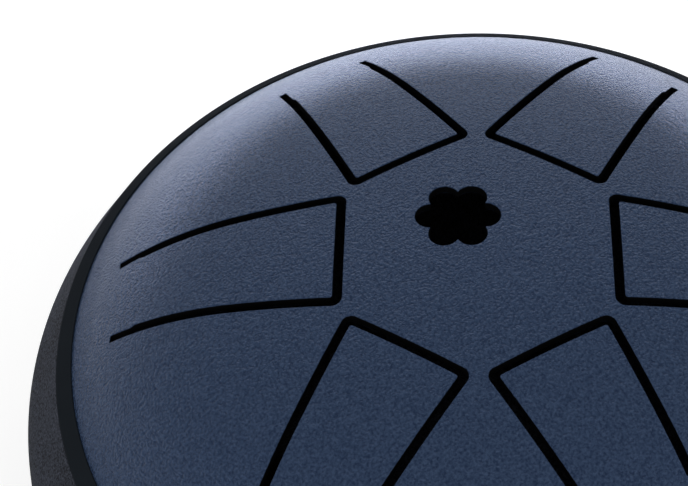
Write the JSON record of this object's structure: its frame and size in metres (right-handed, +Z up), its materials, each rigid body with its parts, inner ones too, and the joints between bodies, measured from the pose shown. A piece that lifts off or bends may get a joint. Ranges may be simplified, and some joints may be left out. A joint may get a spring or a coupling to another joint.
{
  "type": "steel tongue drum",
  "caption": "Small tongue drum: a domed, powder-coated steel sheet with slit tongues and a rosette sound hole on a rounded plastic resonator body with rubber feet.",
  "frame": {"origin": "under the crown of the steel, on the surface that the drum stands on", "axes": "+Z up through the crown, +Y from the drum's axis towards the sound hole and the tongue beyond it"},
  "size_m": [0.14, 0.14, 0.0796],
  "materials": {
    "powder_coated_steel": "fine-textured navy powder coat, satin",
    "seal_rubber": "smooth, satin black",
    "silicone_adhesive": "matte grey silicone",
    "moulded_plastic": "fine moulded texture, matt dark grey",
    "foot_rubber": "matt black",
    "washer_steel": "plain zinc-plated",
    "plated_screw_steel": "bright zinc-plated"
  },
  "bodies": {
    "root": {"tongue_shell": "powder_coated_steel", "rim_seal": "seal_rubber", "bond_bead": "silicone_adhesive", "collar": "moulded_plastic", "bowl": "moulded_plastic", "foot_1": "foot_rubber", "foot_2": "foot_rubber", "foot_3": "foot_rubber", "foot_4": "foot_rubber", "foot_washer_1": "washer_steel", "foot_washer_2": "washer_steel", "foot_washer_3": "washer_steel", "foot_washer_4": "washer_steel", "foot_screw_1": "plated_screw_steel", "foot_screw_2": "plated_screw_steel", "foot_screw_3": "plated_screw_steel", "foot_screw_4": "plated_screw_steel"}
  },
  "joints": []
}
